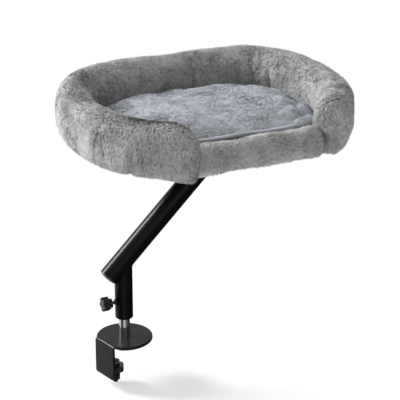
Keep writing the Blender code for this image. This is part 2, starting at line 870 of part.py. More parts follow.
def build_lock():
    """The lock screw lies on -X; its pieces are turned about Z and laid along the lock's axis."""
    stud_radius = LOCK_STUD_DIAMETER / 2
    tip_start = POST_DIAMETER / 2 + GAP
    tip_end = tip_start + LOCK_TIP_LENGTH
    outer = SLEEVE_DIAMETER / 2 + GAP
    insert = turned(
        "lock_insert",
        (
            (stud_radius + GAP, outer + LOCK_INSERT_RIM),
            (LOCK_INSERT_FLANGE / 2, outer + LOCK_INSERT_RIM),
            (LOCK_INSERT_FLANGE / 2, outer),
            (LOCK_INSERT_DIAMETER / 2, outer),
            (LOCK_INSERT_DIAMETER / 2, LOCK_INSERT_REACH),
            (stud_radius + GAP, LOCK_INSERT_REACH),
        ),
        SMALL_STEPS,
        ring=True,
    )
    knob_end = LOCK_KNOB_START + LOCK_KNOB_LENGTH
    bore_depth = LOCK_KNOB_HUB_LENGTH + LOCK_KNOB_LENGTH - KNOB_BORE_MARGIN
    stud_end = knob_end - KNOB_BORE_MARGIN - GAP
    stud = rod("lock_stud", stud_radius, tip_end + GAP, stud_end, SMALL_STEPS)
    tip_radius = LOCK_TIP_DIAMETER / 2
    tip = rod("lock_tip", tip_radius, tip_start, tip_end, SMALL_STEPS)
    knob = lobed_knob(
        "lock_knob", LOCK_KNOB_DIAMETER / 2, LOCK_KNOB_VALLEY, LOCK_KNOB_LOBES, LOCK_KNOB_LENGTH,
        LOCK_KNOB_HUB_DIAMETER / 2, LOCK_KNOB_HUB_LENGTH, stud_radius + GAP, bore_depth,
    )
    pieces = {
        "lock_insert": (insert, BLACK_OXIDE),
        "lock_stud": (stud, BLACK_OXIDE),
        "lock_tip": (tip, NYLON),
        "lock_knob": (knob, BLACK_PLASTIC),
    }
    for name, (item, finish_material) in pieces.items():
        item.rotation_euler = (0, -RIGHT_ANGLE, 0)
        finish(item, name, finish_material, lock_axis)
    knob.rotation_euler = (0, RIGHT_ANGLE, 0)
    knob.location = (-knob_end, 0, 0)


def build_arm():
    reach = HEAD_PLATE_BOTTOM / math.sin(ARM_RISE)
    arm = tube("arm_tube", ARM_DIAMETER / 2, ARM_WALL, -ARM_TAIL, reach)
    arm.location = (0, 0, ARM_CROSSING)
    arm.rotation_euler = (0, RIGHT_ANGLE - ARM_RISE, 0)
    above = box(
        "above_arm",
        (-reach, -ARM_DIAMETER, HEAD_PLATE_BOTTOM - GAP),
        (2 * reach, ARM_DIAMETER, HEAD_PLATE_BOTTOM + reach),
    )
    cut(arm, as_cutter(above, swivel_axis))
    finish(arm, "arm_tube", BLACK_TUBE, swivel_axis)
    top = -ARM_TAIL - GAP
    radius = ARM_DIAMETER / 2
    cap = turned(
        "arm_end_cap",
        (
            (0, top + ARM_CAP_STEM),
            (ARM_INNER - GAP, top + ARM_CAP_STEM),
            (ARM_INNER - GAP, top),
            (radius, top),
            (radius, top - ARM_CAP_FLANGE + ARM_CAP_ROUND),
            (radius - ARM_CAP_ROUND, top - ARM_CAP_FLANGE),
            (0, top - ARM_CAP_FLANGE),
        ),
    )
    cap.location = (0, 0, ARM_CROSSING)
    cap.rotation_euler = (0, RIGHT_ANGLE - ARM_RISE, 0)
    finish(cap, "arm_end_cap", BLACK_PLASTIC, swivel_axis)


def screw_holes(radius):
    return [circle(radius, SMALL_STEPS, place[:2]) for place in HEAD_SCREW_PLACES]


def build_head_plate():
    outline = rounded_rectangle(
        HEAD_PLATE_LENGTH, HEAD_PLATE_WIDTH, HEAD_PLATE_CORNER, (HEAD_PLATE_OFFSET, 0)
    )
    holes = screw_holes(HEAD_SCREW_DIAMETER / 2 + GAP)
    plate = outline_plate("head_plate", [outline, *holes], HEAD_PLATE_BOTTOM, HEAD_PLATE_TOP)
    return finish(plate, "head_plate", BLACK_STEEL, swivel_axis)


def build_head_screws():
    shank = HEAD_SCREW_DIAMETER / 2
    head = HEAD_SCREW_HEAD_DIAMETER / 2
    head_top = HEAD_PLATE_BOTTOM - GAP
    head_bottom = head_top - HEAD_SCREW_HEAD_HEIGHT
    top = BOARD_TOP - TEE_NUT_FLANGE_THICKNESS
    screw = turned(
        "head_screw",
        (
            (0, top),
            (shank, top),
            (shank, head_top),
            (head, head_top),
            (head, head_bottom + HEAD_SCREW_HEAD_HEIGHT / 2),
            (head * HEAD_SCREW_CROWN_SHARE, head_bottom),
            (0, head_bottom),
        ),
        SMALL_STEPS,
    )
    drive = outline_plate(
        "head_screw_drive",
        [hexagon(HEAD_SCREW_DRIVE)],
        head_bottom - OVERRUN,
        head_bottom + HEAD_SCREW_DRIVE_DEPTH,
    )
    cut(screw, as_cutter(drive))
    placed_copies("head_screw", screw, HEAD_SCREW_PLACES, ZINC, swivel_axis)
    bore = shank + GAP
    flange = TEE_NUT_FLANGE / 2
    barrel = TEE_NUT_BARREL / 2
    nut = turned(
        "tee_nut",
        (
            (bore, BOARD_TOP),
            (flange, BOARD_TOP),
            (flange, BOARD_TOP - TEE_NUT_FLANGE_THICKNESS),
            (barrel, BOARD_TOP - TEE_NUT_FLANGE_THICKNESS),
            (barrel, BOARD_TOP - TEE_NUT_LENGTH),
            (bore, BOARD_TOP - TEE_NUT_LENGTH),
        ),
        SMALL_STEPS,
        ring=True,
    )
    placed_copies("tee_nut", nut, HEAD_SCREW_PLACES, ZINC, swivel_axis)


def build_base():
    inset = COVER_THICKNESS + GAP
    board = outline_plate(
        "base_board", [base_outline(inset), *screw_holes(TEE_NUT_BARREL / 2 + GAP)], BOARD_BOTTOM, BOARD_TOP
    )
    seat = rod(
        "tee_nut_seat", TEE_NUT_FLANGE / 2 + GAP, BOARD_TOP - TEE_NUT_FLANGE_THICKNESS - GAP,
        BOARD_TOP + OVERRUN, SMALL_STEPS,
    )
    seats = as_cutter(grouped("tee_nut_seats", seat, HEAD_SCREW_PLACES), swivel_axis)
    cut(board, seats)
    finish(board, "base_board", PLYWOOD, swivel_axis)
    cover = outline_plate(
        "base_cover", [base_outline(0), *screw_holes(HEAD_SCREW_DIAMETER / 2 + GAP)],
        BED_BOTTOM, BOARD_TOP,
    )
    well = outline_plate(
        "board_well", [base_outline(inset - GAP)], BOARD_BOTTOM - GAP, BOARD_TOP + OVERRUN
    )
    cut(cover, as_cutter(well, swivel_axis))
    finish(cover, "base_cover", LINING, swivel_axis)


def outline_angle(x):
    """The low side's own angle at which the wall's middle line reaches x, between 0 and half a turn."""
    share = (x - BED_OFFSET) / (BED_LENGTH / 2 - WALL_THICKNESS / 2)
    return math.acos(math.copysign(abs(share) ** (FRONT_POWER / 2), share))


def section(thickness, height, power, count):
    """A padded section round its own middle: (outwards, upwards) points."""
    return superellipse(thickness / 2, height / 2, power, count)


def wall_rings():
    half_x = BED_LENGTH / 2 - WALL_THICKNESS / 2
    half_y = BED_WIDTH / 2 - WALL_THICKNESS / 2
    start = -outline_angle(WALL_RIGHT_START)
    stop = FULL_TURN - outline_angle(WALL_LEFT_START)
    fine_steps = 400
    fine = [
        bed_point(half_x, half_y, start + (stop - start) * step / fine_steps)
        for step in range(fine_steps + 1)
    ]
    line = evenly_spaced(fine, WALL_STATIONS, False)
    shape = section(WALL_THICKNESS, WALL_HEIGHT, WALL_SECTION_POWER, WALL_SECTION_POINTS)
    stations = []
    for place, (x, y) in enumerate(line):
        before = line[max(place - 1, 0)]
        after = line[min(place + 1, len(line) - 1)]
        along = Vector((after[0] - before[0], after[1] - before[1], 0)).normalized()
        stations.append((Vector((x + BED_OFFSET, y, 0)), along, 1.0, 1.0))
    first, last = stations[0], stations[-1]
    head = [
        (first[0] - first[1] * WALL_RIGHT_LENGTH * out, first[1], wide, tall)
        for out, wide, tall in reversed(WALL_RIGHT_SHARES)
    ]
    tail = [
        (last[0] + last[1] * WALL_LEFT_LENGTH * out, last[1], wide, tall)
        for out, wide, tall in WALL_LEFT_SHARES
    ]
    rings = []
    for middle, along, wide, tall in head + stations + tail:
        outwards = Vector((along.y, -along.x, 0))
        rings.append(
            [
                (
                    *(middle + outwards * across * wide).xy,
                    BED_BOTTOM + (up + WALL_HEIGHT / 2) * tall,
                )
                for across, up in shape
            ]
        )
    return rings


def lip_bar(name, grown, shares):
    """The lip's padded bar, tucked into the wall ends, or the space that it needs."""
    shape = section(
        LIP_THICKNESS + 2 * grown, LIP_HEIGHT + 2 * grown, LIP_SECTION_POWER, LIP_SECTION_POINTS
    )
    middle = LIP_THICKNESS / 2 - LIP_FRONT
    low = BED_BOTTOM - grown
    half = LIP_HEIGHT / 2 + grown
    rings = []
    for along, tall in shares:
        x = LIP_LEFT - grown + (LIP_RIGHT - LIP_LEFT + 2 * grown) * along
        rings.append([(x, middle + across, low + (half + up) * tall) for across, up in shape])
    return swept(name, rings)


def build_bolster_and_lip():
    base_space = outline_plate(
        "base_space", [base_outline(-GAP)], BED_BOTTOM - WALL_HEIGHT, BOARD_TOP + GAP
    )
    as_cutter(base_space, swivel_axis)
    lip_space = as_cutter(lip_bar("lip_space", GAP, ((0, 1.0), (1.0, 1.0))), swivel_axis)
    bolster = soften(swept("bolster", wall_rings()))
    cut(bolster, base_space)
    cut(bolster, lip_space)
    finish(bolster, "bolster", PLUSH, swivel_axis)
    lip = soften(lip_bar("front_lip", 0, LIP_SAG_SHARES))
    cut(lip, base_space)
    finish(lip, "front_lip", PLUSH, swivel_axis)


def build_cushion():
    """Rings from the flat underside over the drawn-in sides to the crown."""
    half_x = BED_LENGTH / 2 - WALL_THICKNESS + CUSHION_CAGE_GROWTH
    half_y = BED_WIDTH / 2 - WALL_THICKNESS + CUSHION_CAGE_GROWTH
    front = LIP_FRONT - LIP_THICKNESS - CUSHION_FRONT_GAP
    bottom = BOARD_TOP + GAP
    unit = bed_outline(1.0, 1.0, CUSHION_POINTS)
    rings = []

    def ring(size_share, height, drawn):
        points = []
        for x, y in unit:
            angle = math.atan2(y, x)
            pull = 1 - drawn * CUSHION_DRAW_SHARE * (1 + math.cos(4 * angle)) / 2
            reach = y * half_y * size_share * pull
            reach = squared_front(reach, front * size_share)
            points.append((BED_OFFSET + x * half_x * size_share * pull, reach, bottom + height))
        return points

    for size_share, height_share in CUSHION_RING_SHARES:
        rings.append(ring(size_share, CUSHION_EDGE_HEIGHT * height_share, 1.0))
    for size_share in CUSHION_TOP_SHARES:
        rise = CUSHION_CROWN * (1 - size_share**2)
        rings.append(ring(size_share, CUSHION_EDGE_HEIGHT + rise, size_share))
    cushion = soften(swept("cushion", rings))
    below = box(
        "below_cushion",
        (BED_OFFSET - BED_LENGTH, -BED_WIDTH, bottom - CUSHION_EDGE_HEIGHT),
        (BED_OFFSET + BED_LENGTH, BED_WIDTH, bottom),
    )
    cut(cushion, as_cutter(below, swivel_axis))
    return finish(cushion, "cushion", CUSHION_PLUSH, swivel_axis)


build_clamp_bracket()
build_disc_pad()
build_edge_pad()
build_jaw_arm()
build_jaw_nut()
build_clamp_screw_group()
build_post()
build_sleeve()
build_lock()
build_arm()
build_head_plate()
build_head_screws()
build_base()
build_bolster_and_lip()
build_cushion()
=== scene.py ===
"""Cat desk bed: a grey plush bed on a black tube arm, held to a desk by a steel clamp."""

import json
import math

import bpy
import numpy as np
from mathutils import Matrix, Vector, kdtree, noise

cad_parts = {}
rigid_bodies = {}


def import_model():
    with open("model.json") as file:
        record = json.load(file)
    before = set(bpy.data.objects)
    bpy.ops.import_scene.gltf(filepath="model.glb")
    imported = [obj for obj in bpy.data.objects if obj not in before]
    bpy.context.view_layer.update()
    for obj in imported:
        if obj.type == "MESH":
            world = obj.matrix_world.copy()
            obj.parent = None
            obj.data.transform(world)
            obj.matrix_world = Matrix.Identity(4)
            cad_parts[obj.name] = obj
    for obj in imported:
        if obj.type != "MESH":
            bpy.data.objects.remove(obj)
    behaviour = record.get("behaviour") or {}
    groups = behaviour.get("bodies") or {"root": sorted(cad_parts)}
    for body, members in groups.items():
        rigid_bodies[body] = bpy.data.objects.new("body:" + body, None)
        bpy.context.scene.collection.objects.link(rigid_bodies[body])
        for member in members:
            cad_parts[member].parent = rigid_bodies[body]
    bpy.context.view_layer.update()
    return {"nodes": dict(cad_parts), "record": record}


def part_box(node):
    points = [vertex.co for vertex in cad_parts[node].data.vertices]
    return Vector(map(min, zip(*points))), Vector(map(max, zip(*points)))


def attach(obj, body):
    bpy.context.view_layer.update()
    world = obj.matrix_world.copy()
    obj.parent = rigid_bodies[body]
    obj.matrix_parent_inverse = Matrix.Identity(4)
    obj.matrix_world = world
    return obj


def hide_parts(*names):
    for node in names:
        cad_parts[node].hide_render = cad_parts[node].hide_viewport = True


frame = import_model()
NODES = frame["nodes"]
for item in bpy.data.objects:
    item.select_set(False)


# ---------------------------------------------------------------- colour and nodes


def linear(hex_colour):
    """An sRGB hex colour as the linear values that Blender's sockets hold."""
    parts = [int(hex_colour[i : i + 2], 16) / 255 for i in (1, 3, 5)]
    return (*[c / 12.92 if c <= 0.04045 else ((c + 0.055) / 1.055) ** 2.4 for c in parts], 1.0)


def new_material(name, colour, roughness, metallic=0.0):
    made = bpy.data.materials.new(name)
    made.use_nodes = True
    shader = made.node_tree.nodes["Principled BSDF"]
    shader.inputs["Base Color"].default_value = linear(colour)
    shader.inputs["Roughness"].default_value = roughness
    shader.inputs["Metallic"].default_value = metallic
    return made, shader


def add_node(made, kind, settings=None, values=None, links=None):
    """Adds a node with its settings and socket values, and links {socket: (node, output)} into it."""
    tree = made.node_tree
    node = tree.nodes.new(kind)
    for name, value in (settings or {}).items():
        setattr(node, name, value)
    for name, value in (values or {}).items():
        node.inputs[name].default_value = value
    for name, (source, output) in (links or {}).items():
        tree.links.new(source.outputs[output], node.inputs[name])
    return node


def ramp_stops(node, stops):
    """Sets a colour ramp's stops: (place, hex colour)."""
    elements = node.color_ramp.elements
    while len(elements) < len(stops):
        elements.new(0.5)
    for element, (place, colour) in zip(elements, stops):
        element.position = place
        element.color = linear(colour)


def powder_coated_steel():
    """Satin powder coat: a very fine orange peel that breaks up the highlight, warm near-black."""
    made, shader = new_material("powder_coated_steel", "#181614", 0.36)
    place = add_node(made, "ShaderNodeTexCoord")
    # The peel's bumps are about 1.2 mm apart.
    peel = add_node(
        made, "ShaderNodeTexNoise", None, {"Scale": 800.0, "Detail": 3.0}, {"Vector": (place, "Object")}
    )
    cloud = add_node(
        made, "ShaderNodeTexNoise", None, {"Scale": 35.0, "Detail": 2.0}, {"Vector": (place, "Object")}
    )
    tone = add_node(made, "ShaderNodeValToRGB", None, None, {"Fac": (cloud, "Fac")})
    ramp_stops(tone, [(0.3, "#181511"), (0.7, "#1f1b17")])
    shader.inputs["Specular IOR Level"].default_value = 0.06
    shader.inputs["Coat Weight"].default_value = 0.17
    shader.inputs["Coat Roughness"].default_value = 0.14
    made.node_tree.links.new(tone.outputs["Color"], shader.inputs["Base Color"])
    rough = add_node(
        made, "ShaderNodeMapRange", None, {"To Min": 0.30, "To Max": 0.42}, {"Value": (cloud, "Fac")}
    )
    made.node_tree.links.new(rough.outputs["Result"], shader.inputs["Roughness"])
    bump = add_node(
        made, "ShaderNodeBump", None, {"Strength": 0.12, "Distance": 0.0002}, {"Height": (peel, "Fac")}
    )
    made.node_tree.links.new(bump.outputs["Normal"], shader.inputs["Normal"])
    return made


def gloss_painted_tube():
    """Black enamel on drawn tube: deep black, with a narrow soft-edged highlight along the tube."""
    made, shader = new_material("gloss_painted_tube", "#080808", 0.24)
    place = add_node(made, "ShaderNodeTexCoord")
    haze = add_node(
        made, "ShaderNodeTexNoise", None, {"Scale": 45.0, "Detail": 3.0}, {"Vector": (place, "Object")}
    )
    rough = add_node(
        made, "ShaderNodeMapRange", None, {"To Min": 0.22, "To Max": 0.31}, {"Value": (haze, "Fac")}
    )
    made.node_tree.links.new(rough.outputs["Result"], shader.inputs["Roughness"])
    tone = add_node(made, "ShaderNodeValToRGB", None, None, {"Fac": (haze, "Fac")})
    ramp_stops(tone, [(0.35, "#070707"), (0.7, "#0b0b0a")])
    made.node_tree.links.new(tone.outputs["Color"], shader.inputs["Base Color"])
    shader.inputs["Specular IOR Level"].default_value = 0.12
    return made


def polished_chrome():
    """Chrome plate on a polished post: a mirror with the faintest haze."""
    made, shader = new_material("polished_chrome", "#d9dcdf", 0.08, 1.0)
    place = add_node(made, "ShaderNodeTexCoord")
    haze = add_node(
        made, "ShaderNodeTexNoise", None, {"Scale": 260.0, "Detail": 2.0}, {"Vector": (place, "Object")}
    )
    rough = add_node(
        made, "ShaderNodeMapRange", None, {"To Min": 0.05, "To Max": 0.12}, {"Value": (haze, "Fac")}
    )
    made.node_tree.links.new(rough.outputs["Result"], shader.inputs["Roughness"])
    return made


def zinc_plated_steel():
    """Bright zinc on turned steel: pale grey metal with fine turning marks."""
    made, shader = new_material("zinc_plated_steel", "#b9bdc1", 0.34, 1.0)
    place = add_node(made, "ShaderNodeTexCoord")
    marks = add_node(
        made,
        "ShaderNodeTexNoise",
        None,
        {"Scale": 420.0, "Detail": 3.0},
        {"Vector": (place, "Object")},
    )
    rough = add_node(
        made, "ShaderNodeMapRange", None, {"To Min": 0.26, "To Max": 0.44}, {"Value": (marks, "Fac")}
    )
    made.node_tree.links.new(rough.outputs["Result"], shader.inputs["Roughness"])
    return made


def black_oxide_steel():
    """Blackened steel thread: dark metal with a thin oily shine."""
    made, shader = new_material("black_oxide_steel", "#3a3a3c", 0.38, 1.0)
    place = add_node(made, "ShaderNodeTexCoord")
    marks = add_node(
        made, "ShaderNodeTexNoise", None, {"Scale": 380.0, "Detail": 3.0}, {"Vector": (place, "Object")}
    )
    rough = add_node(
        made, "ShaderNodeMapRange", None, {"To Min": 0.30, "To Max": 0.48}, {"Value": (marks, "Fac")}
    )
    made.node_tree.links.new(rough.outputs["Result"], shader.inputs["Roughness"])
    return made


def moulded_nylon(name, dark, light, roughness):
    """Moulded plastic: a fine spark-eroded grain that softens the highlight."""
    made, shader = new_material(name, dark, roughness)
    place = add_node(made, "ShaderNodeTexCoord")
    # The grain's dots are about 0.6 mm apart.
    grain = add_node(
        made, "ShaderNodeTexVoronoi", None, {"Scale": 1600.0}, {"Vector": (place, "Object")}
    )
    cloud = add_node(
        made, "ShaderNodeTexNoise", None, {"Scale": 90.0, "Detail": 2.0}, {"Vector": (place, "Object")}
    )
    tone = add_node(made, "ShaderNodeValToRGB", None, None, {"Fac": (cloud, "Fac")})
    ramp_stops(tone, [(0.3, dark), (0.7, light)])
    made.node_tree.links.new(tone.outputs["Color"], shader.inputs["Base Color"])
    bump = add_node(
        made, "ShaderNodeBump", None, {"Strength": 0.2, "Distance": 0.00015}, {"Height": (grain, "Distance")}
    )
    made.node_tree.links.new(bump.outputs["Normal"], shader.inputs["Normal"])
    return made


def black_rubber():
    """Cut rubber sheet: dull, faintly dusty."""
    made, shader = new_material("black_rubber_sheet", "#232322", 0.85)
    place = add_node(made, "ShaderNodeTexCoord")
    dust = add_node(
        made, "ShaderNodeTexNoise", None, {"Scale": 60.0, "Detail": 5.0}, {"Vector": (place, "Object")}
    )
    tone = add_node(made, "ShaderNodeValToRGB", None, None, {"Fac": (dust, "Fac")})
    ramp_stops(tone, [(0.35, "#202020"), (0.75, "#2e2d2c")])
    made.node_tree.links.new(tone.outputs["Color"], shader.inputs["Base Color"])
    return made


def birch_plywood():
    """Birch plywood: pale veneer with a long drawn grain."""
    made, shader = new_material("birch_plywood", "#cdb48c", 0.6)
    place = add_node(made, "ShaderNodeTexCoord")
    drawn = add_node(
        made, "ShaderNodeMapping", None, {"Scale": (1.0, 14.0, 14.0)}, {"Vector": (place, "Object")}
    )
    grain = add_node(
        made, "ShaderNodeTexNoise", None, {"Scale": 14.0, "Detail": 6.0}, {"Vector": (drawn, "Vector")}
    )
    tone = add_node(made, "ShaderNodeValToRGB", None, None, {"Fac": (grain, "Fac")})
    ramp_stops(tone, [(0.3, "#b9986a"), (0.7, "#d8c39c")])
    made.node_tree.links.new(tone.outputs["Color"], shader.inputs["Base Color"])
    return made


def woven_base_cloth():
    """Black non-slip base cloth: a plain weave whose threads are drawn 1.2 mm apart, so that they show."""
    made, shader = new_material("woven_base_cloth", "#28282a", 0.9)
    place = add_node(made, "ShaderNodeTexCoord")
    warp = add_node(
        made,
        "ShaderNodeTexWave",
        {"bands_direction": "X"},
        {"Scale": 260.0, "Distortion": 0.6},
        {"Vector": (place, "Object")},
    )
    weft = add_node(
        made,
        "ShaderNodeTexWave",
        {"bands_direction": "Y"},
        {"Scale": 260.0, "Distortion": 0.6},
        {"Vector": (place, "Object")},
    )
    weave = add_node(
        made,
        "ShaderNodeMath",
        {"operation": "MULTIPLY"},
        None,
        {0: (warp, "Fac"), 1: (weft, "Fac")},
    )
    tone = add_node(made, "ShaderNodeValToRGB", None, None, {"Fac": (weave, "Value")})
    ramp_stops(tone, [(0.1, "#1d1d1f"), (0.8, "#363638")])
    made.node_tree.links.new(tone.outputs["Color"], shader.inputs["Base Color"])
    bump = add_node(
        made, "ShaderNodeBump", None, {"Strength": 0.3, "Distance": 0.0003}, {"Height": (weave, "Value")}
    )
    made.node_tree.links.new(bump.outputs["Normal"], shader.inputs["Normal"])
    return made


def plush_ground(name, dark, middle, light):
    """The knitted ground and root pile of faux rabbit plush: tufts a few millimetres across."""
    made, shader = new_material(name, middle, 0.95)
    place = add_node(made, "ShaderNodeTexCoord")
    tufts = add_node(
        made, "ShaderNodeTexNoise", None, {"Scale": 190.0, "Detail": 4.0}, {"Vector": (place, "Object")}
    )
    cloud = add_node(
        made, "ShaderNodeTexNoise", None, {"Scale": 18.0, "Detail": 3.0}, {"Vector": (place, "Object")}
    )
    both = add_node(
        made,
        "ShaderNodeMath",
        {"operation": "MULTIPLY_ADD"},
        {1: 0.6},
        {0: (tufts, "Fac"), 2: (cloud, "Fac")},
    )
    tone = add_node(made, "ShaderNodeValToRGB", None, None, {"Fac": (both, "Value")})
    ramp_stops(tone, [(0.60, dark), (0.80, middle), (1.0, light)])
    made.node_tree.links.new(tone.outputs["Color"], shader.inputs["Base Color"])
    bump = add_node(
        made, "ShaderNodeBump", None, {"Strength": 0.8, "Distance": 0.002}, {"Height": (tufts, "Fac")}
    )
    made.node_tree.links.new(bump.outputs["Normal"], shader.inputs["Normal"])
    shader.inputs["Sheen Weight"].default_value = 0.2
    shader.inputs["Sheen Roughness"].default_value = 0.5
    return made


PILE_MAP = "OFBake"


def plush_pile(name, root, middle, tip):
    """Pile fibre: darker at the root and paler at the tip, with each lock its own tone."""
    made, shader = new_material(name, middle, 0.75)
    place = add_node(made, "ShaderNodeUVMap", {"uv_map": PILE_MAP})
    split = add_node(made, "ShaderNodeSeparateXYZ", None, None, {"Vector": (place, "UV")})
    along = add_node(made, "ShaderNodeValToRGB", None, None, {"Fac": (split, "Y")})
    ramp_stops(along, [(0.05, root), (0.45, middle), (0.95, tip)])
    lock = add_node(
        made, "ShaderNodeMapRange", None, {"To Min": 0.58, "To Max": 1.34}, {"Value": (split, "X")}
    )
    tinted = add_node(
        made,
        "ShaderNodeVectorMath",
        {"operation": "SCALE"},
        None,
        {0: (along, "Color"), "Scale": (lock, "Result")},
    )
    made.node_tree.links.new(tinted.outputs["Vector"], shader.inputs["Base Color"])
    shader.inputs["Specular IOR Level"].default_value = 0.25
    return made


STEEL = powder_coated_steel()
TUBE = gloss_painted_tube()
CHROME = polished_chrome()
ZINC = zinc_plated_steel()
BLACK_OXIDE = black_oxide_steel()
KNOB = moulded_nylon("moulded_black_nylon", "#0f0f10", "#171718", 0.34)
CAP = moulded_nylon("moulded_brown_black_cap", "#56504b", "#645d57", 0.5)
BUSH = moulded_nylon("moulded_grey_nylon", "#8d8f92", "#a0a2a5", 0.45)
RUBBER = black_rubber()
PLYWOOD = birch_plywood()
BASE_CLOTH = woven_base_cloth()
WALL_GROUND = plush_ground("plush_wall_ground", "#868686", "#979798", "#a6a6a8")
WALL_PILE = plush_pile("plush_wall_pile", "#979694", "#a6a5a3", "#b4b3b2")
CUSHION_GROUND = plush_ground("plush_cushion_ground", "#898b90", "#999ca1", "#a8acb3")
CUSHION_PILE = plush_pile("plush_cushion_pile", "#a2a4a9", "#b3b6bc", "#c2c6cd")

FINISHES = {
    "powder_coat": STEEL,
    "gloss_tube": TUBE,
    "chrome": CHROME,
    "zinc": ZINC,
    "black_oxide": BLACK_OXIDE,
    "moulded_plastic": KNOB,
    "nylon": BUSH,
    "rubber": RUBBER,
    "plywood": PLYWOOD,
    "base_cloth": BASE_CLOTH,
}
for entry in frame["record"]["subparts"]:
    for words, finish in FINISHES.items():
        if words in entry["material_slot"]:
            node_mesh = NODES[entry["node"]].data
            node_mesh.materials.clear()
            node_mesh.materials.append(finish)


# ---------------------------------------------------------------- making pieces


def deselect():
    for item in bpy.context.view_layer.objects:
        item.select_set(False)


def only(item):
    deselect()
    item.select_set(True)
    bpy.context.view_layer.objects.active = item
    return item


def apply_all(item):
    only(item)
    for modifier in list(item.modifiers):
        bpy.ops.object.modifier_apply(modifier=modifier.name)
    return item


def dress(item, name, finish, body):
    item.name = name
    item.data.name = name
    item.data.materials.clear()
    item.data.materials.append(finish)
    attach(item, body)
    return item


def round_rod(name, points, radius, closed=False, resolution=3):
    """A round cord or bead along a line of points, made by a curve and turned into a mesh."""
    curve = bpy.data.curves.new(name, "CURVE")
    curve.dimensions = "3D"
    spline = curve.splines.new("POLY")
    spline.points.add(len(points) - 1)
    for point, place in zip(spline.points, points):
        point.co = (*place, 1.0)
    spline.use_cyclic_u = closed
    curve.bevel_depth = radius
    curve.bevel_resolution = resolution
    curve.use_fill_caps = not closed
    item = bpy.data.objects.new(name, curve)
    bpy.context.scene.collection.objects.link(item)
    only(item)
    bpy.ops.object.convert(target="MESH")
    item = bpy.context.object
    bpy.ops.object.mode_set(mode="EDIT")
    bpy.ops.mesh.select_all(action="SELECT")
    bpy.ops.mesh.remove_doubles(threshold=0.00001)
    bpy.ops.mesh.normals_make_consistent(inside=False)
    bpy.ops.object.mode_set(mode="OBJECT")
    bpy.ops.object.shade_smooth()
    return item


def copy_of_node(node, name):
    """A merged copy of a CAD node's mesh, to shape further."""
    item = bpy.data.objects.new(name, NODES[node].data.copy())
    bpy.context.scene.collection.objects.link(item)
    only(item)
    bpy.ops.object.mode_set(mode="EDIT")
    bpy.ops.mesh.select_all(action="SELECT")
    bpy.ops.mesh.remove_doubles(threshold=0.00002)
    bpy.ops.object.mode_set(mode="OBJECT")
    return item


# ---------------------------------------------------------------- padded plush

RNG = np.random.default_rng(20)
noise.seed_set(20)
BED_MIDDLE = np.array([(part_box("bolster")[0][i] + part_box("bolster")[1][i]) / 2 for i in range(3)])
BED_LOW, BED_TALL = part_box("bolster")[0][2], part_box("bolster")[1][2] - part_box("bolster")[0][2]
OUTLINE_REACH = 0.25

# Creases in the stuffed wall's cover: degrees round the bed's middle, the drift of that from the foot
# to the top, the shares of the wall's height between which it runs, and its depth in metres.
WALL_CREASES = (
    (-175, 4, 0.10, 0.75, 0.0030),
    (-162, 5, 0.08, 0.92, 0.0042),
    (-155, -3, 0.30, 0.80, 0.0022),
    (-146, 5, 0.02, 0.60, 0.0036),
    (-137, -4, 0.15, 0.70, 0.0020),
    (-126, 4, 0.25, 0.62, 0.0016),
    (166, -5, 0.20, 0.95, 0.0030),
    (148, 4, 0.05, 0.70, 0.0034),
    (124, 5, 0.15, 0.90, 0.0026),
    (97, -4, 0.05, 0.65, 0.0034),
    (71, 5, 0.20, 0.95, 0.0028),
    (48, -3, 0.05, 0.75, 0.0032),
    (27, 4, 0.15, 0.90, 0.0026),
    (3, -5, 0.05, 0.70, 0.0034),
    (-21, 4, 0.15, 0.85, 0.0026),
)
# Folds in the loose cushion: from and to (x, y), height and half width, in metres.
CUSHION_FOLDS = (
    ((0.285, -0.146), (0.372, -0.128), 0.0060, 0.0085),
    ((0.318, -0.118), (0.388, -0.078), 0.0050, 0.0100),
    ((0.352, -0.070), (0.392, -0.004), 0.0050, 0.0110),
    ((0.300, -0.090), (0.345, -0.050), 0.0030, 0.0110),
    ((0.030, -0.128), (0.100, -0.140), 0.0030, 0.0090),
    ((-0.015, -0.090), (0.060, -0.104), 0.0035, 0.0110),
    ((-0.012, 0.050), (0.035, 0.108), 0.0035, 0.0110),
    ((0.210, 0.128), (0.300, 0.118), 0.0030, 0.0110),
)


def crease_marks(points):
    """For each point, how deep the nearest crease is there, and its signed distance along the wall."""
    angle = np.degrees(np.arctan2(points[:, 1] - BED_MIDDLE[1], points[:, 0] - BED_MIDDLE[0]))
    share = (points[:, 2] - BED_LOW) / BED_TALL
    wander = np.array([0.005 * noise.noise(Vector(p) * 38.0) for p in points])
    depth = np.zeros(len(points))
    aside = np.full(len(points), 1.0)
    for turn, drift, low, high, deep in WALL_CREASES:
        away = (angle - turn - drift * share + 180) % 360 - 180
        distance = np.radians(away) * OUTLINE_REACH + wander
        fade = np.clip((share - low) / 0.12, 0, 1) * np.clip((high - share) / 0.12, 0, 1)
        nearer = np.abs(distance) < np.abs(aside)
        depth = np.where(nearer, deep * fade, depth)
        aside = np.where(nearer, distance, aside)
    return depth, aside


def wall_relief(points):
    depth, aside = crease_marks(points)
    ridge = 0.30 * np.exp(-((np.abs(aside) - 0.014) ** 2) / 0.008**2)
    return 0.65 * depth * (ridge - np.exp(-(aside**2) / 0.006**2))


def cushion_relief(points):
    height = np.zeros(len(points))
    for first, last, tall, half in CUSHION_FOLDS:
        first, last = np.array(first), np.array(last)
        run = last - first
        along = np.clip(((points[:, :2] - first) @ run) / (run @ run), 0, 1)
        away = np.linalg.norm(points[:, :2] - first - along[:, None] * run, axis=1)
        height += tall * np.exp(-((away / half) ** 2)) * np.sin(math.pi * (0.1 + 0.8 * along))
        height -= 0.5 * tall * np.exp(-(((away - 1.7 * half) / (0.6 * half)) ** 2))
    return height * (points[:, 2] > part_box("cushion")[0][2] + 0.014)


def plain_relief(points):
    return np.zeros(len(points))


